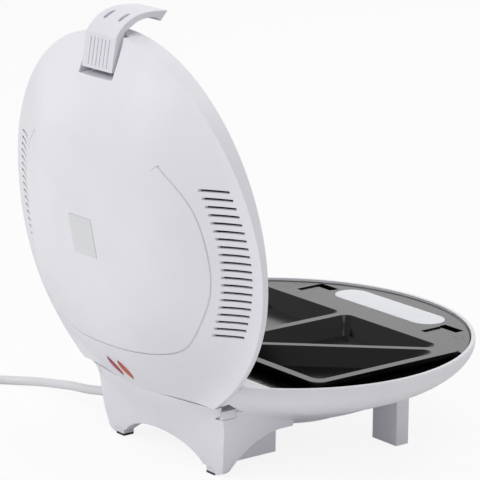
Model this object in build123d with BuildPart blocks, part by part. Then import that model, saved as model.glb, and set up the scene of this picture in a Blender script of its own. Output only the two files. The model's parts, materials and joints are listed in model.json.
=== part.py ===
from build123d import *
import math
import os

os.makedirs("parts", exist_ok=True)

# A two-slice sandwich maker, standing open, in millimetres.
# +Z is up, +Y is the rear where the hinge is, -Y is the front where the latch is.
# Base and lid are both drawn about the centre of the oval rim. The lid is drawn
# closed, on its own plane, and that plane is turned back about the hinge.

# Driving sizes of the whole
rim_centre_y = -15.5
open_angle = 95.0
hinge_y = 94.3
hinge_z = 59.0
gap = 0.3
fit = 0.05

# Base housing
base_half_width = 130.8
base_half_depth = 125.7
base_rim_z = 66.5
base_wall = 2.4
base_rear_y = 101.8
rear_wall_y = 84.0
bottom_z = 20.5
floor_thickness = 2.6
barrel_radius = 7.5
shelf_z = 49.1
seat_z = 58.6
seat_width = 2.8
front_foot = {"x": 65.6, "y": -40.4, "width": 23.2, "depth": 10.2}
heel_front_y = 40.0
heel_skin = 2.8
heel_floor_z = 21.0
arch_half_width = 44.0
arch_height = 17.5
rib_x = 48.0
rib_thickness = 4.0
sole_z = 0.8

# Lid housing
lid_half_width = 126.0
lid_half_depth = 125.2
lid_rim_z = 68.1
lid_rear_y = 102.4
lid_wall = 2.5
lid_skin = 2.6
crown_height = 42.6
skirt_height = 3.2
vent_count = 20
vent_first_y = -44.5
vent_last_y = 46.0
vent_length = 18.5
vent_width = 1.6
groove_width = 0.9
groove_depth = 0.8

# Baking plates
ridge_half_x = 110.0
ridge_front_y = -61.5
ridge_rear_y = 59.2
ridge_width = 6.0
diagonal_width = 5.0
lower_ridge_z = 67.8
upper_ridge_z = 68.2
lower_pocket_depth = 11.2
upper_pocket_depth = 8.0
lower_body_z = 53.0
upper_body_z = 78.7
flange_thickness = 2.6
front_flange_z = 65.2
plate_rear_y = 82.0
upper_flange_z = 70.0
upper_flange_thickness = 1.4
upper_flange_inset = 9.0
upper_plate_rear_y = 71.0

# Heating elements and reflector trays
element_radius = 3.2
element_half_x = 62.0
element_half_y = 30.0
element_end_x = 12.0
element_end_y = 44.0
tray_sheet = 0.8
post_x = 34.0
post_radius = 4.0

# Screws
screw_radius = 1.5
screw_head_radius = 3.2
screw_head_height = 1.8
boss_radius = 4.2

# Latch
pivot_y = -117.5
pivot_z = 80.5
latch_half_width = 15.5
latch_side_gap = 1.8
latch_pin_radius = 1.5
latch_boss_radius = 3.2
recess_floor_z = 77.1
recess_rear_y = -99.8
cheek = 2.2

# Hinge
hinge_pin_radius = 3.0
hinge_pin_length = 19.5
ear_inner_x = 38.0
bracket_x = 50.0
bracket_thickness = 2.5
bracket_radius = 6.0

# Mains cord
cord_radius = 3.0
gland_y = 84.0
gland_z = 21.0
gland_face_x = 66.0
gland_length = 4.5
gland_wall = 6.6
gland_neck = 2.2
coil_pitch = 6.8
coil_layer = 6.6
coil_radius = 44.0
coil_turns = 2

ground = Plane(origin=(0, rim_centre_y, 0))
to_rim_centre = Vector(0, -hinge_y, -hinge_z).rotate(Axis.X, -open_angle)
lid = Plane(
    origin=Vector(0, rim_centre_y + hinge_y, hinge_z) + to_rim_centre,
    x_dir=(1, 0, 0),
    z_dir=Vector(0, 0, 1).rotate(Axis.X, -open_angle),
)
above = (Align.CENTER, Align.CENTER, Align.MIN)


def side_of(frame, x=0.0):
    """The plane across a frame at x, with local x to the rear and local y up."""
    side = Plane(origin=frame.origin, x_dir=frame.y_dir, z_dir=frame.x_dir)
    return side.offset(x)


def front_of(frame, y=0.0):
    """The plane along a frame at y, seen from the front, with local y up."""
    front = Plane(origin=frame.origin, x_dir=frame.x_dir, z_dir=-frame.y_dir)
    return front.offset(-y)


def base_oval(scale=1.0, inset=0.0, steps=28):
    """Points round the base: an ellipse that is a little fuller to the rear."""
    points = []
    for i in range(steps):
        turn = 2 * math.pi * i / steps
        depth = math.sin(turn)
        width = math.copysign(abs(math.cos(turn)) ** 0.963, math.cos(turn))
        width *= 1 + 0.03 * depth - 0.016 * depth**2
        x = width * (base_half_width * scale - inset)
        y = depth * (base_half_depth * scale - inset)
        points.append((x, y))
    return points


def lid_oval(inset=0.0, steps=28):
    """Points round the lid: an ellipse that narrows a little at the rear."""
    points = []
    for i in range(steps):
        turn = 2 * math.pi * i / steps
        depth = math.sin(turn)
        width = math.cos(turn) * (1 + 0.035 * depth - 0.16 * max(0, depth) ** 3)
        x = width * (lid_half_width - inset)
        y = depth * (lid_half_depth - inset)
        points.append((x, y))
    return points


def oval_face(points):
    """Fill the current sketch with a smooth closed outline."""
    with BuildLine() as line:
        Spline(*points, periodic=True)
    make_face(line.edges())


def polygon_face(points):
    """Fill the current sketch with a straight-sided outline."""
    with BuildLine() as line:
        Polyline(*points, close=True)
    make_face(line.edges())


def bowl(sections):
    """A lofted solid through ovals given as (z, scale, inset)."""
    with BuildPart() as solid:
        for z, scale, inset in sections:
            with BuildSketch(ground.offset(z)):
                oval_face(base_oval(scale, inset))
        loft()
    return solid.part


def block(frame, x, y, z):
    """A box between two corners, each given as a pair of limits."""
    size = (x[1] - x[0], y[1] - y[0], z[1] - z[0])
    with BuildPart(frame) as solid:
        with Locations(((x[0] + x[1]) / 2, (y[0] + y[1]) / 2, z[0])):
            Box(*size, align=above)
    return solid.part


def mirrored(x):
    """The same pair of x limits on the right and on the left."""
    return ((x[0], x[1]), (-x[1], -x[0]))


def rods(frame, places, z, radius):
    """Upright cylinders between two heights, one at each (x, y) place."""
    with BuildPart() as solid:
        with BuildSketch(frame.offset(z[0])):
            with Locations(*places):
                Circle(radius)
        extrude(amount=z[1] - z[0])
    return solid.part


def axle(frame, x, y, z, radius):
    """A cylinder along X between two limits, at a place given as y and z."""
    with BuildPart() as solid:
        with BuildSketch(side_of(frame, x[0])):
            with Locations((y, z)):
                Circle(radius)
        extrude(amount=x[1] - x[0])
    return solid.part


def screws(frame, places, seat, tip):
    """Pan-headed screws that bear on a face at seat and end at tip."""
    head = seat - math.copysign(screw_head_height, tip - seat)
    heads = rods(frame, places, sorted((seat, head)), screw_head_radius)
    return heads + rods(frame, places, sorted((seat, tip)), screw_radius)


def save(piece, name):
    """Label a finished piece and write it to its own file."""
    piece.label = name
    export_step(piece, f"parts/{name}.step")
    print(name, len(piece.solids()), round(piece.volume), piece.is_valid)


def tube(points, radius, corners):
    """A round tube along straight runs joined by arcs, with its path's length."""
    with BuildLine() as path:
        FilletPolyline(*points, radius=corners)
    with BuildPart() as solid:
        with BuildSketch(Plane(origin=path.line @ 0, z_dir=path.line % 0)):
            Circle(radius)
        sweep(path=path.line)
    return solid.part, path.wire().length


# The bowl of the base

bowl_sections = (
    (base_rim_z, 1.0),
    (60.0, 0.995),
    (53.0, 0.955),
    (45.0, 0.865),
    (38.0, 0.735),
    (29.0, 0.58),
    (22.0, 0.42),
    (bottom_z, 0.4),
)
outer_bowl = bowl([(z, scale, 0.0) for z, scale in bowl_sections])

inner_sections = [(seat_z, 0.993, base_wall + seat_width)]
for i in range(2, 6):
    z, scale = bowl_sections[i]
    z_above, scale_above = bowl_sections[i - 1]
    z_below, scale_below = bowl_sections[i + 1]
    slope = base_half_width * (scale_above - scale_below) / (z_above - z_below)
    inner_sections.append((z, scale, base_wall * math.hypot(1, slope)))
floor_z = bottom_z + floor_thickness
inner_sections.append((floor_z, 0.445, 4.5))
inner_bowl = bowl(inner_sections)
rim_opening = bowl([(base_rim_z + 1, 1.0, base_wall), (seat_z, 0.9975, base_wall)])

# The heel: the rear wall and the two legs below the hinge, as one flared block

heel_sections = (
    (shelf_z, 67.0, 103.0, 112.5),
    (41.0, 66.0, 97.0, 108.0),
    (30.0, 65.0, 95.0, 101.0),
    (14.0, 62.5, 93.6, 95.0),
    (sole_z, 59.0, 92.0, 92.6),
)


def heel(sections, front_y, inset=0.0):
    """A loft through flat-fronted sections with a bowed rear side."""
    with BuildPart() as solid:
        for z, half_width, corner_y, middle_y in sections:
            side = half_width - inset
            corner = corner_y - inset
            with BuildSketch(ground.offset(z)):
                with BuildLine():
                    Polyline((side, corner), (side, front_y), (-side, front_y), (-side, corner))
                    ThreePointArc((-side, corner), (0, middle_y - inset), (side, corner))
                make_face()
        loft()
    return solid.part


heel_block = heel(heel_sections, heel_front_y)
room_sections = ((45.6, 66.6, 101.2, 110.9), *heel_sections[1:3], (heel_floor_z, 63.6, 94.2, 97.4))
heel_room = heel(room_sections, 68.0, heel_skin)

with BuildPart() as heel_form:
    add(heel_block)
    with BuildSketch(side_of(ground)):
        with BuildLine():
            ThreePointArc((88, sole_z), (80, 12), (48, 25.5))
            Polyline((48, 25.5), (30, 25.5), (30, -5), (88, -5), (88, sole_z))
        make_face()
    extrude(amount=base_half_width, both=True, mode=Mode.SUBTRACT)
    with BuildSketch(front_of(ground, 60)):
        with Locations((0, -2)):
            Ellipse(arch_half_width, arch_height + 2)
    extrude(amount=80, both=True, mode=Mode.SUBTRACT)
    for side in (-1, 1):
        with BuildSketch(front_of(ground, 60)):
            with BuildLine():
                ThreePointArc((53.5 * side, sole_z), (59.6 * side, 3.4), (62.4 * side, 12))
                Polyline((62.4 * side, 12), (75 * side, 12), (75 * side, -3))
                Polyline((75 * side, -3), (53.5 * side, -3), (53.5 * side, sole_z))
            make_face()
        extrude(amount=80, both=True, mode=Mode.SUBTRACT)


# Where the screws, hinge ears and feet stand

plate_screws = [(81 * side, -84) for side in (-1, 1)] + [(70 * side, 72) for side in (-1, 1)]
cover_screws = [(31 * x, 31 * y) for x in (-1, 1) for y in (-1, 1)]
block_screw = (0, 38)
block_half_x = 17.0
block_half_y = 6.0
gland_end_x = gland_face_x + gland_length
gland_collar_x = gland_face_x - gland_wall - 0.1
cover_scale = 0.385
opening_scale = 0.17
cover_thickness = 2.0
cover_boss_top = 30.0
ear_outer_x = ear_inner_x + hinge_pin_length + 0.5
slot_x = (bracket_x - 0.5, bracket_x + bracket_thickness + 0.5)
foot_block_x = (43.9, 52.0)
foot_block_y = (84.4, 92.3)
foot_block_top = 4.8
foot_stem_radius = 2.4
foot_stem_top = 11.0

bosses = rods(ground, plate_screws, (34, seat_z), boss_radius) & outer_bowl

with BuildPart() as base_forms:
    add(heel_form.part)
    for side in (-1, 1):
        x, y = front_foot["x"] * side, front_foot["y"]
        half = (front_foot["width"] / 2, front_foot["depth"] / 2)
        add(block(ground, (x - half[0], x + half[0]), (y - half[1], y + half[1]), (0, 34)))
        x = rib_x * side
        add(block(ground, (x - rib_thickness / 2, x + rib_thickness / 2), (42, 88), (5, 28)))
    add(axle(ground, (54, gland_face_x), gland_y, gland_z, 8))

hollow_y = (rear_wall_y + base_wall, base_rear_y - 3.3)
barrel_top = hinge_z + barrel_radius
behind = base_rear_y + 20

with BuildPart() as base_cuts:
    # the hollow between the hinge ears, and those outside them
    add(block(ground, (-ear_inner_x, ear_inner_x), hollow_y, (40, 62)))
    for x in mirrored((ear_outer_x + 2, 74)):
        add(block(ground, x, hollow_y, (40, 62)))
    # bores for the hinge pins and slots for the lid's brackets
    for x in mirrored((ear_inner_x - 1, ear_outer_x)):
        add(axle(ground, x, hinge_y, hinge_z, hinge_pin_radius + fit / 2))
    for x in mirrored(slot_x):
        add(block(ground, x, (85.5, 104), (50, 70)))
    # hollow feet and legs, and the rubber feet's seats
    for side in (-1, 1):
        x, y = front_foot["x"] * side, front_foot["y"]
        half = (front_foot["width"] / 2 - base_wall, front_foot["depth"] / 2 - base_wall)
        add(block(ground, (x - half[0], x + half[0]), (y - half[1], y + half[1]), (2.6, 36)))
    for x in mirrored((54.0, gland_face_x - gland_wall)):
        add(block(ground, x, (gland_y - 4.8, gland_y + 6.4), (14.5, 30)))
    for x in mirrored((foot_block_x[0] - 3, foot_block_x[1] + 0.2)):
        add(block(ground, x, (foot_block_y[0] - 0.2, foot_block_y[1] + 3), (0, foot_block_top)))
    add(rods(ground, [(-48, 88.4), (48, 88.4)], (foot_block_top - 1, foot_stem_top), foot_stem_radius + fit))
    # the access hole in the floor and every screw hole
    with BuildSketch(ground.offset(0)):
        oval_face(base_oval(opening_scale))
    extrude(amount=floor_z + 1)
    add(rods(ground, cover_screws, (bottom_z - 1, cover_boss_top - 1), screw_radius + fit))
    add(rods(ground, plate_screws, (seat_z - 9, seat_z + 1), screw_radius + fit))
    # the strain relief's hole
    add(axle(ground, (gland_face_x - 8, gland_face_x + 1), gland_y, gland_z, cord_radius + 1.05))
    # the round of the barrel, and all that is behind it above the shelf
    with BuildSketch(side_of(ground)):
        with BuildLine():
            Polyline((behind, shelf_z), (behind, barrel_top + 5), (hinge_y, barrel_top + 5), (hinge_y, barrel_top))
            RadiusArc((hinge_y, barrel_top), (base_rear_y, hinge_z), barrel_radius)
            Polyline((base_rear_y, hinge_z), (base_rear_y, shelf_z), (behind, shelf_z))
        make_face()
    extrude(amount=200, both=True)

cover_bosses = rods(ground, cover_screws, (floor_z - 1, cover_boss_top), 3.6)
in_front = block(ground, (-200, 200), (-200, rear_wall_y), (0, 90))
low = block(ground, (-200, 200), (-200, 200), (0, 44))
room = (inner_bowl & (in_front + low)) - [bosses, cover_bosses]

with BuildPart() as base_shell:
    add(outer_bowl & block(ground, (-200, 200), (-200, base_rear_y), (0, 90)))
    add(base_forms.part, clean=False)
    add([room, rim_opening & in_front, heel_room, base_cuts.part], mode=Mode.SUBTRACT, clean=False)
save(base_shell.part, "base_shell")

# What is fastened under and into the base shell

cover_z = bottom_z - cover_thickness
with BuildPart() as bottom_cover:
    with BuildSketch(ground.offset(cover_z)):
        oval_face(base_oval(cover_scale))
    extrude(amount=cover_thickness)
    with BuildSketch(ground.offset(bottom_z)):
        oval_face(base_oval(opening_scale, gap))
    extrude(amount=2)
    add(rods(ground, cover_screws, (cover_z, cover_z + 1.2), screw_head_radius + 0.2), mode=Mode.SUBTRACT)
    add(rods(ground, cover_screws, (cover_z, bottom_z), screw_radius + 0.2), mode=Mode.SUBTRACT)
    with BuildSketch(ground.offset(cover_z)):
        with GridLocations(7, 0, 5, 1):
            SlotOverall(24, 3, rotation=90)
    extrude(amount=cover_thickness, mode=Mode.SUBTRACT)
save(bottom_cover.part, "bottom_cover")
save(screws(ground, cover_screws, cover_z + 1.2, cover_boss_top - 3), "cover_screws")

for name, side in (("left", -1), ("right", 1)):
    x = sorted((foot_block_x[0] * side, foot_block_x[1] * side))
    with BuildPart() as rubber_foot:
        add(block(ground, x, foot_block_y, (0, foot_block_top)))
        add(rods(ground, [(48 * side, 88.4)], (foot_block_top, foot_stem_top - 0.2), foot_stem_radius))
    save(rubber_foot.part, f"rubber_foot_{name}")

    x = sorted((ear_inner_x * side, (ear_inner_x + hinge_pin_length) * side))
    save(axle(ground, x, hinge_y, hinge_z, hinge_pin_radius), f"hinge_pin_{name}")


# The baking plates

pocket_x = (3.0, ridge_half_x - ridge_width)
pocket_y = (ridge_front_y + ridge_width, ridge_rear_y - ridge_width)


def plate_body(face, corner, straight, depth, slope):
    """The raised block of a plate below its ridge plane, tapered to its back."""
    width = 2 * ridge_half_x
    length = ridge_rear_y - ridge_front_y
    middle = (ridge_rear_y + ridge_front_y) / 2
    cut = 2 * (depth - straight) * math.tan(math.radians(slope))
    with BuildPart() as solid:
        with BuildSketch(face):
            with Locations((0, middle)):
                RectangleRounded(width, length, corner)
        extrude(amount=-straight)
        with BuildSketch(face.offset(-straight)):
            with Locations((0, middle)):
                RectangleRounded(width, length, corner)
        with BuildSketch(face.offset(-depth)):
            with Locations((0, middle)):
                RectangleRounded(width - cut, length - cut, corner / 2)
        loft(ruled=True)
    return solid.part


def plate_pockets(face, depth, slope):
    """Four triangular pockets: two squares, each split by a diagonal ridge."""
    across = pocket_x[1] - pocket_x[0]
    along = pocket_y[1] - pocket_y[0]
    half = diagonal_width / 2 * math.hypot(across, along)
    step_x, step_y = half / along, half / across
    spread = depth * math.tan(math.radians(slope))
    with BuildPart() as solid:
        for side in (-1, 1):
            near, far = pocket_x[0] * side, pocket_x[1] * side
            front_pocket = [
                (near, pocket_y[0]),
                (far - step_x * side, pocket_y[0]),
                (near, pocket_y[1] - step_y),
            ]
            rear_pocket = [
                (far, pocket_y[1]),
                (near + step_x * side, pocket_y[1]),
                (far, pocket_y[0] + step_y),
            ]
            for corners in (front_pocket, rear_pocket):
                with BuildSketch(face) as mouth:
                    polygon_face(corners)
                    fillet(mouth.vertices(), 6)
                with BuildSketch(face.offset(-depth)) as floor:
                    polygon_face(corners)
                    offset(amount=-spread, kind=Kind.INTERSECTION)
                    fillet(floor.vertices(), 4)
                loft(ruled=True)
    return solid.part


lower_face = ground.offset(lower_ridge_z)
panel_half_length = 50.0
panel_width = 25.0
panel_y = -95.0
panel_seat_z = front_flange_z - 1.2
with BuildPart() as lower_plate:
    add(plate_body(lower_face, 8.0, 3.0, lower_ridge_z - lower_body_z, 40))
    with BuildSketch(ground.offset(seat_z)):
        oval_face(base_oval(0.9975, base_wall + 0.8))
        with Locations((0, plate_rear_y + 100)):
            Rectangle(400, 200, mode=Mode.SUBTRACT)
    extrude(amount=flange_thickness)
    with BuildSketch(ground.offset(seat_z)):
        oval_face(base_oval(0.9975, base_wall + 0.8))
        with Locations((0, ridge_front_y + 100)):
            Rectangle(400, 200, mode=Mode.SUBTRACT)
    extrude(amount=front_flange_z - seat_z)
    add(plate_pockets(lower_face, lower_pocket_depth, 35), mode=Mode.SUBTRACT)
    # the hollow back of the front flange, the panel's seat and the slots
    with BuildSketch(ground.offset(seat_z)):
        with Locations((0, -90)):
            RectangleRounded(96, 44, 8)
    extrude(amount=3, mode=Mode.SUBTRACT)
    with BuildSketch(ground.offset(front_flange_z)):
        with Locations((0, panel_y)):
            SlotOverall(2 * panel_half_length, panel_width)
    extrude(amount=-1.2, mode=Mode.SUBTRACT)
    with BuildSketch(ground.offset(front_flange_z)):
        with Locations((-63.5, -84), (63.5, -84)):
            Rectangle(17, 20)
    extrude(amount=-0.9, mode=Mode.SUBTRACT)
    with BuildSketch(ground.offset(front_flange_z)):
        with Locations((-63, -94), (63, -94)):
            Rectangle(18, 5)
    extrude(amount=-7, mode=Mode.SUBTRACT)
    # posts for the reflector tray, and the screw holes
    add(rods(ground, [(-post_x, 0), (post_x, 0)], (39.8, lower_body_z + 1), post_radius))
    add(rods(ground, [(-post_x, 0), (post_x, 0)], (39.8, 50), screw_radius + fit), mode=Mode.SUBTRACT)
    front_seat = front_flange_z - screw_head_height
    rear_seat = seat_z + flange_thickness - 1.6
    head_room = screw_head_radius + 0.2
    add(rods(ground, plate_screws, (seat_z, 70), screw_radius + 0.2), mode=Mode.SUBTRACT)
    add(rods(ground, plate_screws[:2], (front_seat, 70), head_room), mode=Mode.SUBTRACT)
    add(rods(ground, plate_screws[2:], (rear_seat, 66), head_room), mode=Mode.SUBTRACT)
save(lower_plate.part, "lower_plate")
lower_plate_screws = screws(ground, plate_screws[:2], front_seat, seat_z - 8)
lower_plate_screws += screws(ground, plate_screws[2:], rear_seat, seat_z - 8)
save(lower_plate_screws, "lower_plate_screws")

with BuildPart() as front_panel:
    with BuildSketch(ground.offset(panel_seat_z)):
        with Locations((0, panel_y)):
            SlotOverall(2 * panel_half_length - 0.4, panel_width - 0.4)
    extrude(amount=1.5)
    fillet(front_panel.faces().sort_by(Axis.Z)[-1].edges(), 0.5)
save(front_panel.part, "front_panel")


# Heating under the plates

def heating_tube(frame, z):
    """A tubular element, looped under both pockets, with its ends to the rear."""
    x, y, end = element_half_x, element_half_y, element_end_x
    left = [(-end, element_end_y), (-end, y), (-x, y), (-x, -y)]
    route = left + [(-place[0], place[1]) for place in reversed(left)]
    points = [frame.from_local_coords(Vector(*place, z)) for place in route]
    return tube(points, element_radius, 9.0)[0]


def reflector(frame, half_x, half_y, floor, mouth):
    """A sheet tray whose floor lies at one height and whose mouth is at another."""
    inside = floor + math.copysign(tray_sheet, mouth - floor)
    outer = block(frame, (-half_x, half_x), (-half_y, half_y), sorted((floor, mouth)))
    thin = (half_x - tray_sheet, half_y - tray_sheet)
    hollow = block(frame, (-thin[0], thin[0]), (-thin[1], thin[1]), sorted((inside, mouth)))
    holes = rods(frame, [(-post_x, 0), (post_x, 0)], sorted((floor, inside)), screw_radius + 0.2)
    return outer - [hollow, holes]


lower_tray_z = 39.0
save(heating_tube(ground, lower_body_z - gap - element_radius), "lower_element")
save(reflector(ground, 76, 43.5, lower_tray_z, 46), "lower_reflector")
save(screws(ground, [(-post_x, 0), (post_x, 0)], lower_tray_z, 48), "lower_tray_screws")
save(rods(ground, [(0, -12)], (lower_body_z - 6, lower_body_z), 8), "lower_thermostat")
save(axle(ground, (-8, 8), 12, lower_body_z - 2.2, 2), "thermal_fuse")

with BuildPart() as terminal_block:
    y = (block_screw[1] - block_half_y, block_screw[1] + block_half_y)
    add(block(ground, (-block_half_x, block_half_x), y, (floor_z, floor_z + 10)))
    add(rods(ground, [block_screw], (floor_z, floor_z + 10), screw_radius + 0.2), mode=Mode.SUBTRACT)
save(terminal_block.part, "terminal_block")
save(screws(ground, [block_screw], floor_z + 10, floor_z + 0.2), "terminal_screw")


def wires(frame, routes, radius, bend):
    """Separate round wires, each along its own route."""
    strands = []
    for route in routes:
        points = [frame.from_local_coords(Vector(*place)) for place in route]
        strands.append(tube(points, radius, bend)[0])
    return Part() + strands


element_z = lower_body_z - gap - element_radius
supply = [
    (gland_collar_x - gland_neck, gland_y, gland_z),
    (55.5, 84, 25.5),
    (50, 82, 33),
    (44, 74, 37),
    (34, 60, 36.4),
    (27, 44, 30),
    (22, block_screw[1], 28),
    (block_half_x, block_screw[1], 28),
]
feeds = []
for x in (-10, 10):
    start = math.copysign(element_end_x, x)
    feeds.append([
        (start, element_end_y, element_z),
        (start, element_end_y + 8, element_z),
        (1.1 * x, 55, 34),
        (x, 51, 28),
        (x, block_screw[1] + block_half_y, 28),
    ])
base_wiring = wires(ground, [supply], 2.6, 2.2) + wires(ground, feeds, 1.4, 3.0)
save(base_wiring, "base_wiring")


# The mains cord, its strain relief and its plug

cord_gland = axle(ground, (gland_face_x, gland_face_x + 2), gland_y, gland_z, 5.5)
cord_gland += axle(ground, (gland_face_x + 2, gland_end_x), gland_y, gland_z, 4.2)
cord_gland += axle(ground, (gland_collar_x, gland_face_x), gland_y, gland_z, cord_radius + 1)
cord_gland += axle(ground, (gland_collar_x - gland_neck, gland_collar_x), gland_y, gland_z, cord_radius + 1.6)
save(cord_gland, "cord_gland")

lie = cord_radius + 0.1
cord_route = [
    (gland_end_x, gland_y, gland_z),
    (79.0, 84.6, 20.3),
    (90.5, 86.4, 18.4),
    (103.0, 85.6, 16.6),
    (119.0, 83.0, 13.6),
    (135.0, 81.4, 10.2),
    (152.0, 80.6, 7.0),
    (166.5, 82.8, 4.5),
    (178.3, 88.2, lie),
    (187.6, 97.1, lie),
    (193.6, 108.2, lie),
    (197.2, 120.3, lie),
    (199.0, 133.0, lie),
    (199.0, 145.0, lie),
]
coil_x = cord_route[-1][0] + coil_radius
coil_y = cord_route[-1][1] + 2 * cord_radius
tail_z = lie + coil_layer
tail_x = cord_route[-1][0]
tail_route = [
    (tail_x, coil_y + 2 * cord_radius, tail_z),
    (tail_x, 168.0, tail_z + 0.1),
    (tail_x - 2.5, 180.0, tail_z),
    (tail_x - 7.0, 191.0, tail_z),
]


def corner_radii(route):
    """For each corner, 0.45 of its shorter run over the tangent of half its turn."""
    radii = []
    for before, here, after in zip(route, route[1:], route[2:]):
        first, second = Vector(*here) - Vector(*before), Vector(*after) - Vector(*here)
        half_turn = math.radians(first.get_angle(second) / 2)
        radii.append(0.45 * min(first.length, second.length) / math.tan(half_turn))
    return radii


stretches = []
for route in (cord_route, tail_route):
    radii = corner_radii(route)
    stretch, length = tube([ground.from_local_coords(Vector(*place)) for place in route], cord_radius, radii)
    section = math.pi * cord_radius**2
    print("radii", [round(radius) for radius in radii], "length", round(length, 1))
    print("volume against section by length", round(stretch.volume / (section * length), 4))
    stretches.append(stretch)
save(Part() + stretches, "cord")


def coil_centre(turn):
    """A place on the coil's centre line: it winds in, climbs and winds out."""
    angle = math.pi - 2 * math.pi * turn
    radius = coil_radius - coil_pitch * (coil_turns - abs(turn - coil_turns))
    climb = min(1, max(0, 2 * (turn - coil_turns) + 0.5))
    rise = coil_layer * climb * climb * (3 - 2 * climb)
    return Vector(coil_x + radius * math.cos(angle), coil_y + radius * math.sin(angle), lie + rise)


def biarc(start, start_way, end, end_way):
    """Two arcs that meet smoothly between two places with given directions."""
    chord, ways = end - start, start_way + end_way
    a, b, c = 2 * (start_way.dot(end_way) - 1), chord.dot(ways), chord.dot(chord)
    reach = (b - math.sqrt(b * b - a * c)) / a
    first, second = start + start_way * reach, end - end_way * reach
    middle = (first + second) / 2
    TangentArc(start, middle, tangent=start_way)
    TangentArc(middle, end, tangent=(second - first).normalized())


quarters = [i / 4 for i in range(8 * coil_turns + 1)]
nodes = [ground.from_local_coords(coil_centre(turn)) for turn in quarters]
ways = [(coil_centre(turn + 0.001) - coil_centre(turn - 0.001)).normalized() for turn in quarters]
ways[0] = ways[-1] = Vector(0, 1, 0)
lead = Vector(0, 2 * cord_radius, 0)
with BuildPart() as cord_coil:
    with BuildLine() as path:
        Line(nodes[0] - lead, nodes[0])
        for i in range(len(nodes) - 1):
            biarc(nodes[i], ways[i], nodes[i + 1], ways[i + 1])
        Line(nodes[-1], nodes[-1] + lead)
    with BuildSketch(Plane(origin=nodes[0] - lead, z_dir=(0, 1, 0))):
        Circle(cord_radius)
    sweep(path=path.line)
save(cord_coil.part, "cord_coil")

samples = [coil_centre(i / 60) for i in range(120 * coil_turns + 1)]
pairs = [(i, j) for i in range(len(samples)) for j in range(i + 30, len(samples))]
nearest = min((samples[i] - samples[j]).length for i, j in pairs)
print("coil length", round(path.wire().length, 1), "least gap", round(nearest - 2 * cord_radius, 2))

plug_end = ground.from_local_coords(Vector(*tail_route[-1]))
plug_way = (plug_end - ground.from_local_coords(Vector(*tail_route[-2])))
plug_way = Vector(plug_way.X, plug_way.Y, 0).normalized()
plug = Plane(origin=plug_end, x_dir=plug_way.cross(Vector(0, 0, 1)), z_dir=plug_way)
plug_width, plug_height, plug_length, boot_length = 36.0, 18.8, 34.0, 14.0
pin_radius, pin_length, pin_x = 2.4, 19.0, 9.5
with BuildPart() as plug_body:
    with BuildSketch(plug.offset(boot_length)):
        RectangleRounded(plug_width, plug_height, 7)
    extrude(amount=plug_length)
    with BuildSketch(plug):
        Circle(cord_radius + 1)
    with BuildSketch(plug.offset(boot_length)):
        Circle(cord_radius + 3.5)
    loft()
    with BuildSketch(plug.offset(boot_length + plug_length)):
        with Locations((-pin_x, 0), (pin_x, 0)):
            Circle(pin_radius + fit)
    extrude(amount=-8, mode=Mode.SUBTRACT)
save(plug_body.part, "plug_body")
with BuildPart() as plug_pins:
    with BuildSketch(plug.offset(boot_length + plug_length - 8)):
        with Locations((-pin_x, 0), (pin_x, 0)):
            Circle(pin_radius)
    extrude(amount=pin_length + 8)
    tips = plug_pins.faces().filter_by(GeomType.PLANE).sort_by(Axis(plug.origin, plug.z_dir))[-2:]
    fillet(tips.edges(), 1.2)
save(plug_pins.part, "plug_pins")


# The lid shell

def crown(x, y):
    """Height of the lid's outer surface above its rim, at a place in the closed lid."""
    t = y / lid_half_depth
    radius = max(0.001, math.hypot(x / (lid_half_width * (1 + 0.035 * t)), t))
    front = -t / radius
    edge = 1 + 10.7 * front - 4.75 * front**2
    if front < 0:
        edge = 1 + (edge - 1) * 0.8
    reach = 0.775 + 0.02 * front + 0.085 * front**2 + 0.04 * math.exp(-(((front + 0.5) / 0.3) ** 2))
    height = edge + (crown_height - edge) * math.exp(-((radius / reach) ** 4.1))
    return skirt_height + 1.5 * math.log1p(math.exp((height - skirt_height) / 1.5))


def under_crown():
    """A solid that fills all the space below the lid's outer surface."""
    rows = []
    for j in range(31):
        y = -134.0 + 8.2 * j
        places = [(9.0 * (i - 15), y) for i in range(31)]
        rows.append([lid.from_local_coords(Vector(x, y, lid_rim_z + crown(x, y))) for x, y in places])
    surface = Face.make_surface_from_array_of_points(rows, tol=0.03)
    return extrude(surface, amount=90, dir=-lid.z_dir)


crown_form = under_crown()


def lowered(depth):
    """The space below a surface that lies under the crown by a depth."""
    return crown_form.moved(Location(-lid.z_dir * depth))


def lid_prism(inset, z, rear_y):
    """The lid's oval between two heights, cut off at the rear."""
    with BuildPart() as solid:
        with BuildSketch(lid.offset(z[0])):
            oval_face(lid_oval(inset))
            with Locations((0, rear_y + 100)):
                Rectangle(400, 200, mode=Mode.SUBTRACT)
        extrude(amount=z[1] - z[0])
    return solid.part


high = lid_rim_z + 60
recess_half = latch_half_width + latch_side_gap
housing_x = (-recess_half - cheek, recess_half + cheek)
latch_housing = block(lid, housing_x, (-200, recess_rear_y + cheek), (recess_floor_z - cheek, high))
bracket_outer = bracket_x + bracket_thickness
upper_screws = [(72 * side, -80) for side in (-1, 1)] + [(58 * side, 66) for side in (-1, 1)]
upper_flange_top = upper_flange_z + upper_flange_thickness
lamp_places = [(5.2, 87.2), (-5.6, 87.2)]
holder_screws = [(-19.5, 87), (19.5, 87)]
holder_top_z = 82.0
bracket_screw_y, bracket_screw_z = 78.0, 75.0

with BuildPart() as lid_inside:
    add(latch_housing)
    add(rods(lid, upper_screws, (upper_flange_top, high), boss_radius))
    add(rods(lid, holder_screws, (holder_top_z, high), 3.4))
    for x in mirrored((bracket_outer, bracket_outer + 5)):
        add(block(lid, x, (73, 88), (69.3, high)))

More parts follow.
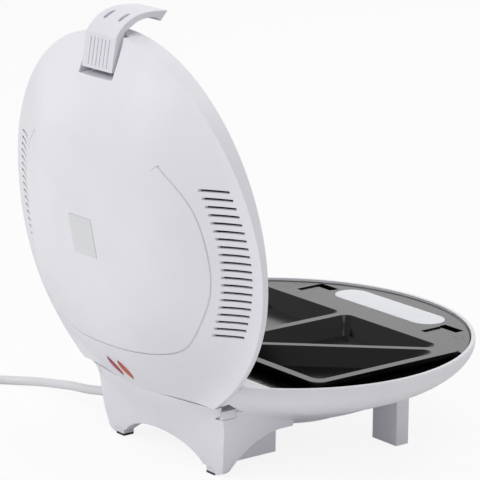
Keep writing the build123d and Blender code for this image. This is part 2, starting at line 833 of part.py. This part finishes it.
badge_outline = [(13.5, -15.7), (-9.5, -15.7), (-13.5, 8), (9.5, 8)]
panel_front_y = -35.5
panel_rear_y = 67.6
panel_side = [
    (64.4, -57.2),
    (78.5, -43.8),
    (88.1, -30.3),
    (93.7, -11.8),
    (95.2, 4.3),
    (93.5, 19.9),
    (83.5, 42.5),
    (66.0, 60.5),
    (33.0, 67.1),
]


def panel_outline(inset):
    """Fill the current sketch with the raised panel's outline, drawn in by an inset."""
    shrink = (1 - inset / panel_side[4][0], 1 - inset / panel_rear_y)
    right = [(x * shrink[0], y * shrink[1]) for x, y in panel_side]
    with BuildLine() as line:
        ThreePointArc((-right[0][0], right[0][1]), (0, panel_front_y - inset), right[0])
        Spline(*right, (0, panel_rear_y * shrink[1]), tangents=[(1, 1), (-1, 0)])
        mirror(about=Plane.YZ)
    make_face(line.edges())


def lens_prism(spare, z):
    """Upright prisms of the two pointed lens outlines, widened by spare."""
    prisms = []
    for x, y in lamp_places:
        with BuildPart() as solid:
            with BuildSketch(lid.offset(z[0])):
                with BuildLine():
                    ThreePointArc((x, y - 7.6 - spare), (x + 3 + spare, y), (x, y + 7.6 + spare))
                    ThreePointArc((x, y + 7.6 + spare), (x - 3 - spare, y), (x, y - 7.6 - spare))
                make_face()
            extrude(amount=z[1] - z[0])
        prisms.append(solid.part)
    return prisms


with BuildPart() as badge_prism:
    with BuildSketch(lid.offset(lid_rim_z)):
        polygon_face(badge_outline)
    extrude(amount=60)
with BuildPart() as badge_seat:
    with BuildSketch(lid.offset(lid_rim_z)) as seat:
        polygon_face(badge_outline)
        offset(amount=0.1)
    extrude(amount=60)
with BuildPart() as panel_ring:
    with BuildSketch(lid.offset(lid_rim_z)):
        panel_outline(0)
    extrude(amount=60)
    with BuildSketch(lid.offset(lid_rim_z - 1)):
        panel_outline(groove_width)
    extrude(amount=62, mode=Mode.SUBTRACT)

vents = []
for i in range(vent_count):
    y = vent_first_y + (vent_last_y - vent_first_y) * i / (vent_count - 1)
    middle = 109.5 - 11 * ((y - 1) / 45) ** 2
    for x in mirrored((middle - vent_length / 2, middle + vent_length / 2)):
        vents.append(block(lid, x, (y - vent_width / 2, y + vent_width / 2), (lid_rim_z + 1.5, high)))

lid_outer = lid_prism(0, (lid_rim_z, high), lid_rear_y) & crown_form
lid_room = (lid_prism(lid_wall, (lid_rim_z - 1, high), lid_rear_y - lid_wall) & lowered(lid_skin)) - lid_inside.part
recess = block(lid, (-recess_half, recess_half), (-200, recess_rear_y), (recess_floor_z, high))
pin_bore = axle(lid, housing_x, pivot_y, pivot_z, latch_pin_radius + fit)
bracket_bores = []
for x in mirrored((bracket_outer - 1, bracket_outer + 4.5)):
    bracket_bores.append(axle(lid, x, bracket_screw_y, bracket_screw_z, screw_radius + fit))
lid_holes = [
    rods(lid, upper_screws, (upper_flange_top - 1, upper_flange_top + 4), screw_radius + fit),
    rods(lid, holder_screws, (holder_top_z - 1, holder_top_z + 4), screw_radius + fit),
]
grooves = [panel_ring.part - lowered(groove_depth), badge_seat.part - lowered(0.5)]
lens_holes = lens_prism(0.1, (lid_rim_z, high))
bores = [pin_bore, *bracket_bores, *lid_holes, *lens_holes]
lid_shell = lid_outer - [lid_room, recess, *bores, *grooves, *vents]
save(lid_shell, "lid_shell")


# What is set into the lid's outer face

save(badge_prism.part & lowered(-0.3) - lowered(0.5), "badge_plate")
lenses = [lens & lowered(-0.5) - lowered(lid_skin + 1) for lens in lens_prism(0, (lid_rim_z, high))]
save(lenses[0], "red_lens")
save(lenses[1], "amber_lens")

lamp_length = 9.0
with BuildPart() as lamp_holder:
    add(block(lid, (-24, 24), (82, 92), (73, holder_top_z)))
    add(rods(lid, lamp_places, (75, holder_top_z), 2.6), mode=Mode.SUBTRACT)
    add(rods(lid, holder_screws, (73, holder_top_z), screw_radius + 0.2), mode=Mode.SUBTRACT)
save(lamp_holder.part, "lamp_holder")
save(screws(lid, holder_screws, 73, holder_top_z + 3.5), "lamp_holder_screws")
save(rods(lid, lamp_places, (75, 75 + lamp_length), 2.5), "neon_lamps")


# The upper plate and its heating

upper_face = Plane(
    origin=lid.from_local_coords(Vector(0, 0, upper_ridge_z)),
    x_dir=-lid.x_dir,
    z_dir=-lid.z_dir,
)
upper_tray_z = 89.4
with BuildPart() as upper_plate:
    add(plate_body(upper_face, 18.0, 2.6, upper_body_z - upper_ridge_z, 50))
    with BuildSketch(lid.offset(upper_flange_z)):
        oval_face(lid_oval(upper_flange_inset))
        with Locations((0, upper_plate_rear_y + 100)):
            Rectangle(400, 200, mode=Mode.SUBTRACT)
    extrude(amount=upper_flange_thickness)
    add(lowered(lid_skin + gap), mode=Mode.INTERSECT)
    add(plate_pockets(upper_face, upper_pocket_depth, 52), mode=Mode.SUBTRACT)
    posts = [(-post_x, 0), (post_x, 0)]
    add(rods(lid, posts, (upper_body_z - 1, upper_tray_z - tray_sheet), post_radius))
    add(rods(lid, posts, (upper_body_z + 0.5, upper_tray_z), screw_radius + fit), mode=Mode.SUBTRACT)
    add(rods(lid, upper_screws, (upper_flange_z - 1, upper_flange_top), screw_radius + 0.2), mode=Mode.SUBTRACT)
save(upper_plate.part, "upper_plate")
save(screws(lid, upper_screws, upper_flange_z, upper_flange_top + 3.5), "upper_plate_screws")
save(heating_tube(lid, upper_body_z + gap + element_radius), "upper_element")
save(reflector(lid, 66, 34.5, upper_tray_z, 84), "upper_reflector")
save(screws(lid, [(-post_x, 0), (post_x, 0)], upper_tray_z, upper_body_z + 1), "upper_tray_screws")
save(rods(lid, [(0, 12)], (upper_body_z, upper_body_z + 6), 8), "upper_thermostat")

upper_element_z = upper_body_z + gap + element_radius
lamp_feeds = []
for side in (-1, 1):
    start = [(element_end_x * side, y, upper_element_z) for y in (element_end_y, 58)]
    lamp_feeds.append(start + [(9 * side, 71, 78), (9 * side, 82, 78)])
save(wires(lid, lamp_feeds, 1.4, 4.0), "lid_wiring")


# The hinge brackets

bracket_profile = [
    (hinge_y - bracket_radius, hinge_z),
    (hinge_y - bracket_radius, 67.6),
    (73, 69.5),
    (73, 80),
    (79, 79.6),
    (87, 74.0),
    (94, 69.6),
    (99.4, 67.4),
    (hinge_y + bracket_radius, hinge_z),
]
for name, side in (("left", -1), ("right", 1)):
    with BuildPart() as hinge_bracket:
        with BuildSketch(side_of(lid, bracket_x * side)):
            polygon_face(bracket_profile)
            with Locations((hinge_y, hinge_z)):
                Circle(bracket_radius)
                Circle(hinge_pin_radius + fit, mode=Mode.SUBTRACT)
            with Locations((bracket_screw_y, bracket_screw_z)):
                Circle(screw_radius + 0.2, mode=Mode.SUBTRACT)
        extrude(amount=bracket_thickness * side)
    save(hinge_bracket.part, f"hinge_bracket_{name}")

bracket_screws = []
for x in mirrored((bracket_x - screw_head_height, bracket_x)):
    bracket_screws.append(axle(lid, x, bracket_screw_y, bracket_screw_z, screw_head_radius))
for x in mirrored((bracket_x, bracket_outer + 4)):
    bracket_screws.append(axle(lid, x, bracket_screw_y, bracket_screw_z, screw_radius))
save(Part() + bracket_screws, "bracket_screws")


# The latch

pin_x = (housing_x[0] + 0.2, housing_x[1] - 0.2)
save(axle(lid, pin_x, pivot_y, pivot_z, latch_pin_radius), "latch_pin")

pad_top = (-124.4, 85.7)
pad_low = (-103.8, 90.9)
arm_outside = [(-129.5, 81.0), (-133.6, 74.0), (-135.5, 66.0), (-135.3, 56.0), (-134.0, 46.7)]
arm_inside = [(-128.6, 52.2), (-131.4, 56.0), (-132.2, 60.9), (-130.9, 70.4), (-128.2, 76.0), (-127.0, 79.4)]
underside = [(-119.5, 80.0), (-114.5, 81.5), (-108.0, 86.2), (-103.6, 88.6)]
rib_count = 6
rib_pitch = 3.75
with BuildPart() as latch_clip:
    with BuildSketch(side_of(lid)):
        with BuildLine():
            Line(pad_low, pad_top)
            Spline(pad_top, *arm_outside)
            Line(arm_outside[-1], arm_inside[0])
            Spline(*arm_inside)
            Polyline(arm_inside[-1], *underside, pad_low)
        make_face()
        with Locations((pivot_y, pivot_z)):
            Circle(latch_boss_radius)
            Circle(latch_pin_radius + fit, mode=Mode.SUBTRACT)
    extrude(amount=latch_half_width, both=True)
    # grooves along the pad, cut a little below its surface
    pad = Plane(
        origin=lid.from_local_coords(Vector(0, *pad_low)),
        x_dir=lid.x_dir,
        z_dir=lid.x_dir.cross(lid.from_local_coords(Vector(0, *pad_low)) - lid.from_local_coords(Vector(0, *pad_top))),
    )
    with BuildSketch(pad):
        with Locations((0, -10.5)):
            with GridLocations(rib_pitch, 0, rib_count, 1):
                Rectangle(0.8, 17)
    extrude(amount=-0.7, mode=Mode.SUBTRACT)
    # two windows through the arm
    with BuildSketch(front_of(lid, -140)):
        with Locations((-7.5, 73), (7.5, 73)):
            SlotOverall(9, 3.2, rotation=90)
    extrude(amount=-16, mode=Mode.SUBTRACT)
save(latch_clip.part, "latch_clip")
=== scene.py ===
import bpy
import bmesh
import json
import math
from mathutils import Matrix, Vector


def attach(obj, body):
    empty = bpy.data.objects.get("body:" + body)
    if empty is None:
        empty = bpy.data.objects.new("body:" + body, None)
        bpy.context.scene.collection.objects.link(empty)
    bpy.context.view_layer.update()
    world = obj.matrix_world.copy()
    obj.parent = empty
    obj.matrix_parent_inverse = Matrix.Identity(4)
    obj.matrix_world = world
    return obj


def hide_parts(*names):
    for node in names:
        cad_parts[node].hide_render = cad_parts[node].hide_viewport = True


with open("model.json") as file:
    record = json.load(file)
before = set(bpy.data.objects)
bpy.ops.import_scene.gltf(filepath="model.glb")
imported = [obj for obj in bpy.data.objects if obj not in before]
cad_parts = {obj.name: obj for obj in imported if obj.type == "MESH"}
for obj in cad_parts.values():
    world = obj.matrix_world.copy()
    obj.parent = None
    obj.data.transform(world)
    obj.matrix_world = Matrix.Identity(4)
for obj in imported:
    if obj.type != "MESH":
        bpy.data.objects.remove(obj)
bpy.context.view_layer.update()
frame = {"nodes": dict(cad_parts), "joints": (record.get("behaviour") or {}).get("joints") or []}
mm = 0.001

hingeJoint = next(j for j in frame["joints"] if j["name"] == "lid_hinge")
hinge = Vector(hingeJoint["pos_m"])
hingeBehindRim = 94.3
rimCentre = Vector((0, hinge.y - hingeBehindRim * mm, 0))


def atRim(x, y, z):
    # a place given in mm from the middle of the base's oval rim
    return rimCentre + Vector((x, y, z)) * mm


# Camera, at the photograph's viewing angle
camera = {
    "place": (-1328.5, 1080.0, 567.0),
    "turn": -38.252,
    "down": 14.455,
    "roll": 0.484,
    "lens": 206.08,
    "sensor": 36,
    "farthest": 20,
}


def makeCamera():
    turn, down, roll = (math.radians(camera[k]) for k in ("turn", "down", "roll"))
    level = math.cos(down)
    ahead = Vector((level * math.cos(turn), level * math.sin(turn), -math.sin(down)))
    side = ahead.cross(Vector((0, 0, 1))).normalized()
    top = side.cross(ahead)
    right = side * math.cos(roll) + top * math.sin(roll)
    up = top * math.cos(roll) - side * math.sin(roll)
    data = bpy.data.cameras.new("camera")
    data.lens = camera["lens"]
    data.sensor_width = camera["sensor"]
    data.clip_end = camera["farthest"]
    eye = bpy.data.objects.new("camera", data)
    facing = Matrix((right, up, -ahead)).transposed().to_4x4()
    eye.matrix_world = Matrix.Translation(atRim(*camera["place"])) @ facing
    bpy.context.scene.collection.objects.link(eye)
    bpy.context.scene.camera = eye


makeCamera()
print("camera is set")


# Colours and shader nodes
def linear(code):
    # an sRGB hex colour as linear red, green and blue
    parts = [int(code[i:i + 2], 16) / 255 for i in (1, 3, 5)]
    return tuple(p / 12.92 if p <= 0.04045 else ((p + 0.055) / 1.055) ** 2.4 for p in parts) + (1.0,)


def addNode(tree, kind, settings=None, inputs=None, links=None):
    # a node with its settings, its own values, and links as {socket: (node, output)}
    node = tree.nodes.new(kind)
    for name, value in (settings or {}).items():
        setattr(node, name, value)
    for name, value in (inputs or {}).items():
        node.inputs[name].default_value = value
    for name, (source, output) in (links or {}).items():
        tree.links.new(source.outputs[output], node.inputs[name])
    return node


def newMaterial(name):
    material = bpy.data.materials.new(name)
    material.use_nodes = True
    tree = material.node_tree
    tree.nodes.clear()
    return material, tree


def finishMaterial(tree, shader):
    output = tree.nodes.new("ShaderNodeOutputMaterial")
    tree.links.new(shader.outputs[0], output.inputs["Surface"])


toneBand = (0.3, 0.7)
skinStrength = 0.25


def moulded(name, colour, shade, settings, grain=0.9, depth=0.012, mottle=60.0, rough=(0.27, 0.36)):
    # A moulded or coated surface: a slow drift between two close tones, a fine
    # skin that breaks up the highlight, and a little change in its sharpness.
    # The grain, its depth and the drift's width are in mm.
    material, tree = newMaterial(name)
    place = addNode(tree, "ShaderNodeNewGeometry")
    drift = addNode(tree, "ShaderNodeTexNoise", {}, {"Scale": 1 / (mottle * mm), "Detail": 3.0},
                    {"Vector": (place, "Position")})
    tone = addNode(tree, "ShaderNodeValToRGB", {}, {}, {"Fac": (drift, "Fac")})
    for stop, position, code in zip(tone.color_ramp.elements, toneBand, (shade, colour)):
        stop.position = position
        stop.color = linear(code)
    skin = addNode(tree, "ShaderNodeTexNoise", {}, {"Scale": 1 / (grain * mm), "Detail": 2.0},
                   {"Vector": (place, "Position")})
    sharp = addNode(tree, "ShaderNodeMapRange", {}, {"To Min": rough[0], "To Max": rough[1]},
                    {"Value": (drift, "Fac")})
    bump = addNode(tree, "ShaderNodeBump", {}, {"Strength": skinStrength, "Distance": depth * mm},
                   {"Height": (skin, "Fac")})
    surface = addNode(tree, "ShaderNodeBsdfPrincipled", {}, settings, {
        "Base Color": (tone, "Color"),
        "Roughness": (sharp, "Result"),
        "Normal": (bump, "Normal"),
    })
    finishMaterial(tree, surface)
    return material


rubberGrain = 1800.0
rubberDepth = 0.05


def soled(name, colour, sole, height):
    # a moulded foot in one colour, with a darker sole below a height in mm
    material, tree = newMaterial(name)
    place = addNode(tree, "ShaderNodeNewGeometry")
    split = addNode(tree, "ShaderNodeSeparateXYZ", {}, {}, {"Vector": (place, "Position")})
    low = addNode(tree, "ShaderNodeMath", {"operation": "LESS_THAN"}, {1: height * mm}, {0: (split, "Z")})
    tone = addNode(tree, "ShaderNodeMixRGB", {}, {"Color1": linear(colour), "Color2": linear(sole)},
                   {"Fac": (low, 0)})
    grain = addNode(tree, "ShaderNodeTexNoise", {}, {"Scale": rubberGrain}, {"Vector": (place, "Position")})
    bump = addNode(tree, "ShaderNodeBump", {}, {"Strength": 0.3, "Distance": rubberDepth * mm},
                   {"Height": (grain, "Fac")})
    surface = addNode(tree, "ShaderNodeBsdfPrincipled", {}, {"Roughness": 0.6, "IOR": 1.52},
                      {"Base Color": (tone, "Color"), "Normal": (bump, "Normal")})
    finishMaterial(tree, surface)
    return material


# ABS, injection moulded in a polished tool: a clean white with a soft, slightly cool shine
whiteAbs = moulded("abs moulded white", "#ECEBF1", "#E6E5EC", {"IOR": 1.53, "Specular IOR Level": 0.45})
# ABS of the latch, off a plainer tool: the same white with a duller skin
latchAbs = moulded("abs moulded white dull", "#E4E4EA", "#DDDDE4", {"IOR": 1.53}, rough=(0.38, 0.46))
# non-stick coating sprayed on cast aluminium and baked: near black, with a satin sheen and fine specks
coating = moulded("nonstick coating sprayed", "#0C0C0D", "#070708",
                  {"IOR": 1.45, "Specular IOR Level": 0.24},
                  grain=0.7, depth=0.014, mottle=25.0, rough=(0.13, 0.2))
# enamelled steel panel: a hard even white
enamel = moulded("steel enamelled white", "#E2E4EA", "#DBDDE4", {"IOR": 1.5, "Coat Weight": 0.3},
                 rough=(0.3, 0.38))
# the bare plate on the lid, ABS pressed smooth: a little greyer than the shell
plateInlay = moulded("abs inlay pressed", "#E0E2E4", "#D8DADD", {"IOR": 1.5}, rough=(0.25, 0.32))
# PVC jacket, extruded: white with a dull waxy skin
jacket = moulded("pvc extruded white", "#E3E3E6", "#DBDBDF", {"IOR": 1.52},
                 grain=0.5, depth=0.02, rough=(0.42, 0.52))
# PVC plug, moulded on to the cord: the same white, a little smoother
plugPvc = moulded("pvc moulded white", "#E5E5E8", "#DEDEE2", {"IOR": 1.52}, rough=(0.38, 0.46))
# rubber feet, moulded: pale like the heel, with a dark sole where they stand
footRubber = soled("rubber moulded white and black", "#DCDCE2", "#2B2B2D", 1.5)
# steel, zinc plated: pale with a dull lustre
zincSteel = moulded("steel zinc plated", "#B9B8B4", "#A9A8A5", {"Metallic": 1.0},
                    mottle=6.0, rough=(0.3, 0.45))
# steel sheath of the heating tubes, drawn and tinted brown by heat
hotSteel = moulded("steel heat tinted", "#6E6862", "#57524E", {"Metallic": 1.0},
                   mottle=12.0, rough=(0.38, 0.5))
# aluminium sheet, rolled bright: a clear, slightly soft mirror
brightAluminium = moulded("aluminium rolled sheet", "#D5D6D8", "#C9CACD", {"Metallic": 1.0},
                          mottle=18.0, rough=(0.2, 0.32))
# brass plug pins, nickel plated: bright and a little warm
nickel = moulded("brass nickel plated", "#CFCBC2", "#C2BEB6", {"Metallic": 1.0},
                 mottle=9.0, rough=(0.18, 0.26))
# steatite of the terminals and the lamp holder, pressed: a matt cream
ceramic = moulded("steatite pressed", "#E8E2D4", "#DED7C8", {"IOR": 1.55}, rough=(0.45, 0.55))
# silicone sleeves of the inner wires, extruded: dull and buff
sleeve = moulded("silicone sleeve extruded", "#D8CFC0", "#CCC3B4", {"IOR": 1.42}, rough=(0.5, 0.6))
# glass of the neon lamps, blown: clear and faintly warm
lampGlass = moulded("glass blown", "#E9D9C9", "#E2D2C2", {"IOR": 1.5, "Transmission Weight": 0.8},
                    rough=(0.05, 0.1))


def lensMaterial(name, colour, deep):
    # dyed acrylic, moulded: a deep colour that drifts a little within the lens
    return moulded(name, colour, deep, {"IOR": 1.49, "Specular IOR Level": 0.2},
                   mottle=4.0, rough=(0.3, 0.4))


redAcrylic = lensMaterial("acrylic dyed red", "#B92B4B", "#961C38")
amberAcrylic = lensMaterial("acrylic dyed amber", "#D2612A", "#B4481C")

finishes = {
    "base_shell": whiteAbs,
    "lid_shell": whiteAbs,
    "bottom_cover": whiteAbs,
    "latch_clip": latchAbs,
    "badge_plate": plateInlay,
    "lower_plate": coating,
    "upper_plate": coating,
    "lower_plate_screws": coating,
    "front_panel": enamel,
    "cord_gland": plugPvc,
    "cord": jacket,
    "cord_coil": jacket,
    "plug_body": plugPvc,
    "plug_pins": nickel,
    "red_lens": redAcrylic,
    "amber_lens": amberAcrylic,
    "neon_lamps": lampGlass,
    "lamp_holder": ceramic,
    "terminal_block": ceramic,
    "base_wiring": sleeve,
    "lid_wiring": sleeve,
    "lower_element": hotSteel,
    "upper_element": hotSteel,
    "lower_reflector": brightAluminium,
    "upper_reflector": brightAluminium,
    "lower_thermostat": brightAluminium,
    "upper_thermostat": brightAluminium,
    "thermal_fuse": brightAluminium,
    "rubber_foot_left": footRubber,
    "rubber_foot_right": footRubber,
}


def paint(piece, material):
    piece.data.materials.clear()
    piece.data.materials.append(material)


for name, node in frame["nodes"].items():
    for slot in node.material_slots:
        slot.material = finishes.get(name, zincSteel)
print("materials are set")


# Stage: a paper floor that shows white, soft lamps, and a white world that lights less than it shows
stage = {
    "floor": 3.0,
    "paper": "#F4F4F4",
    "floorGlow": 0.88,
    "world": 0.55,
    "lamps": (
        # name, place, aim, size, power
        ("rear soft box", (0.45, 1.6, 1.35), (0, 0.1, 0.2), 0.7, 12.0),
        ("top soft box", (-0.4, -0.3, 1.9), (0, 0, 0), 0.9, 6.0),
        ("front fill", (0.9, -1.3, 0.8), (0, 0, 0.1), 1.2, 2.0),
    ),
}


def makeStage():
    mesh = bpy.data.meshes.new("floor")
    reach = stage["floor"]
    corners = [(-reach, -reach, 0), (reach, -reach, 0), (reach, reach, 0), (-reach, reach, 0)]
    mesh.from_pydata(corners, [], [(0, 1, 2, 3)])
    floor = bpy.data.objects.new("floor", mesh)
    bpy.context.scene.collection.objects.link(floor)
    material, tree = newMaterial("paper white")
    sees = addNode(tree, "ShaderNodeLightPath")
    share = addNode(tree, "ShaderNodeMath", {"operation": "MULTIPLY"}, {1: stage["floorGlow"]},
                    {0: (sees, "Is Camera Ray")})
    matt = addNode(tree, "ShaderNodeBsdfDiffuse", {}, {"Color": linear(stage["paper"])})
    glow = addNode(tree, "ShaderNodeEmission", {}, {"Strength": 1.0})
    mixed = addNode(tree, "ShaderNodeMixShader", {}, {}, {0: (share, 0), 1: (matt, 0), 2: (glow, 0)})
    finishMaterial(tree, mixed)
    mesh.materials.append(material)
    for name, place, aim, size, power in stage["lamps"]:
        data = bpy.data.lights.new(name, "AREA")
        data.shape = "DISK"
        data.size = size
        data.energy = power
        lamp = bpy.data.objects.new(name, data)
        lamp.location = place
        lamp.rotation_euler = (Vector(aim) - Vector(place)).to_track_quat("-Z", "Y").to_euler()
        bpy.context.scene.collection.objects.link(lamp)
    world = bpy.data.worlds.new("studio")
    bpy.context.scene.world = world
    world.use_nodes = True
    tree = world.node_tree
    tree.nodes.clear()
    sees = addNode(tree, "ShaderNodeLightPath")
    either = addNode(tree, "ShaderNodeMath", {"operation": "MAXIMUM"}, {},
                     {0: (sees, "Is Camera Ray"), 1: (sees, "Is Glossy Ray")})
    both = addNode(tree, "ShaderNodeMath", {"operation": "MAXIMUM"}, {},
                   {0: (either, 0), 1: (sees, "Is Transmission Ray")})
    level = addNode(tree, "ShaderNodeMapRange", {}, {"To Min": stage["world"], "To Max": 1.0},
                    {"Value": (both, 0)})
    sky = addNode(tree, "ShaderNodeBackground", {}, {"Color": linear("#FFFFFF")},
                  {"Strength": (level, "Result")})
    output = tree.nodes.new("ShaderNodeOutputWorld")
    tree.links.new(sky.outputs[0], output.inputs["Surface"])
    bpy.context.scene.view_settings.view_transform = "Standard"


makeStage()
print("stage is set")


# The mains cord: one line from the strain relief, along the floor, round the coil and out to the plug
cord = {
    "radius": 3.0,
    "coilRadius": 44.0,
    "coilPitch": 6.8,
    "coilLayer": 6.6,
    "coilTurns": 2,
    "pointsPerTurn": 16,
    "curveOrder": 3,
    "stepsPerPoint": 8,
    "roundness": 5,
    "route": (
        (70.5, 84.0, 21.0),
        (79.0, 84.6, 20.3),
        (90.5, 86.4, 18.4),
        (103.0, 85.6, 16.6),
        (119.0, 83.0, 13.6),
        (135.0, 81.4, 10.2),
        (152.0, 80.6, 7.0),
        (166.5, 82.8, 4.5),
        (178.3, 88.2, 3.1),
        (187.6, 97.1, 3.1),
        (193.6, 108.2, 3.1),
        (197.2, 120.3, 3.1),
        (199.0, 133.0, 3.1),
        (199.0, 145.0, 3.1),
    ),
    "tail": (
        (199.0, 168.0, 9.8),
        (196.5, 180.0, 9.7),
        (192.0, 191.0, 9.7),
    ),
}


def coilPlace(turn):
    # winds in, climbs a layer where the spiral reverses, and winds out
    angle = math.pi - 2 * math.pi * turn
    inTurns = cord["coilTurns"] - abs(turn - cord["coilTurns"])
    radius = cord["coilRadius"] - cord["coilPitch"] * inTurns
    climb = min(1, max(0, 2 * (turn - cord["coilTurns"]) + 0.5))
    rise = cord["coilLayer"] * climb * climb * (3 - 2 * climb)
    x, y, z = cord["route"][-1]
    centre = (x + cord["coilRadius"], y + 2 * cord["radius"])
    return (centre[0] + radius * math.cos(angle), centre[1] + radius * math.sin(angle), z + rise)


def makeCord():
    steps = 2 * cord["coilTurns"] * cord["pointsPerTurn"]
    coil = [coilPlace(i / cord["pointsPerTurn"]) for i in range(steps + 1)]
    points = [atRim(*p) for p in (*cord["route"], *coil, *cord["tail"])]
    curve = bpy.data.curves.new("mainsCord", "CURVE")
    curve.dimensions = "3D"
    line = curve.splines.new("NURBS")
    line.points.add(len(points) - 1)
    for i, point in enumerate(points):
        line.points[i].co = (*point, 1)
    line.order_u = cord["curveOrder"]
    line.use_endpoint_u = True
    line.resolution_u = cord["stepsPerPoint"]
    curve.bevel_depth = cord["radius"] * mm
    curve.bevel_resolution = cord["roundness"]
    curve.use_fill_caps = True
    piece = bpy.data.objects.new("mainsCord", curve)
    bpy.context.scene.collection.objects.link(piece)
    paint(piece, jacket)
    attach(piece, "base")
    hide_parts("cord", "cord_coil")
    return piece, points[0]


mainsCord, cordExit = makeCord()
print("cord is laid")


# Edges of the moulded and cast pieces are rounded as they come from the tool
edges = {
    "joins": 0.002,
    "segments": 3,
    "sharper": 32,
    "widths": {
        "base_shell": 1.2,
        "lower_plate": 1.5,
        "upper_plate": 0.7,
        "latch_clip": 0.6,
        "plug_body": 1.5,
        "bottom_cover": 0.5,
    },
}
for name, width in edges["widths"].items():
    node = frame["nodes"][name]
    weld = node.modifiers.new("weld", "WELD")
    weld.merge_threshold = edges["joins"] * mm
    soften = node.modifiers.new("soft edge", "BEVEL")
    soften.width = width * mm
    soften.segments = edges["segments"]
    soften.limit_method = "ANGLE"
    soften.angle_limit = math.radians(edges["sharper"])
    soften.harden_normals = True
print("edges are rounded")


# The shoulders beside the hinge ears, closed to just below the lid's swing
shoulder = {
    "inner": 60.15,
    "front": 86.5,
    # height, outer side and rear side, at the bottom and at the top
    "levels": ((40.1, 65.9, 96.8), (46.2, 66.6, 98.4)),
    "softEdge": 0.5,
    "segments": 2,
}


def makeShoulder(name, side):
    corners = []
    for z, outer, rear in shoulder["levels"]:
        inner, front = shoulder["inner"], shoulder["front"]
        for x, y in ((inner, front), (outer, front), (outer, rear), (inner, rear)):
            corners.append(atRim(x * side, y, z))
    ends = [(3, 2, 1, 0), (4, 5, 6, 7)]
    sides = [(i, (i + 1) % 4, (i + 1) % 4 + 4, i + 4) for i in range(4)]
    mesh = bpy.data.meshes.new(name)
    mesh.from_pydata(corners, [], ends + sides)
    shaped = bmesh.new()
    shaped.from_mesh(mesh)
    bmesh.ops.recalc_face_normals(shaped, faces=shaped.faces)
    shaped.to_mesh(mesh)
    shaped.free()
    piece = bpy.data.objects.new(name, mesh)
    bpy.context.scene.collection.objects.link(piece)
    paint(piece, whiteAbs)
    soften = piece.modifiers.new("soft edge", "BEVEL")
    soften.width = shoulder["softEdge"] * mm
    soften.segments = shoulder["segments"]
    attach(piece, "base")


makeShoulder("shoulderLeft", -1)
makeShoulder("shoulderRight", 1)
print("shoulders are closed")
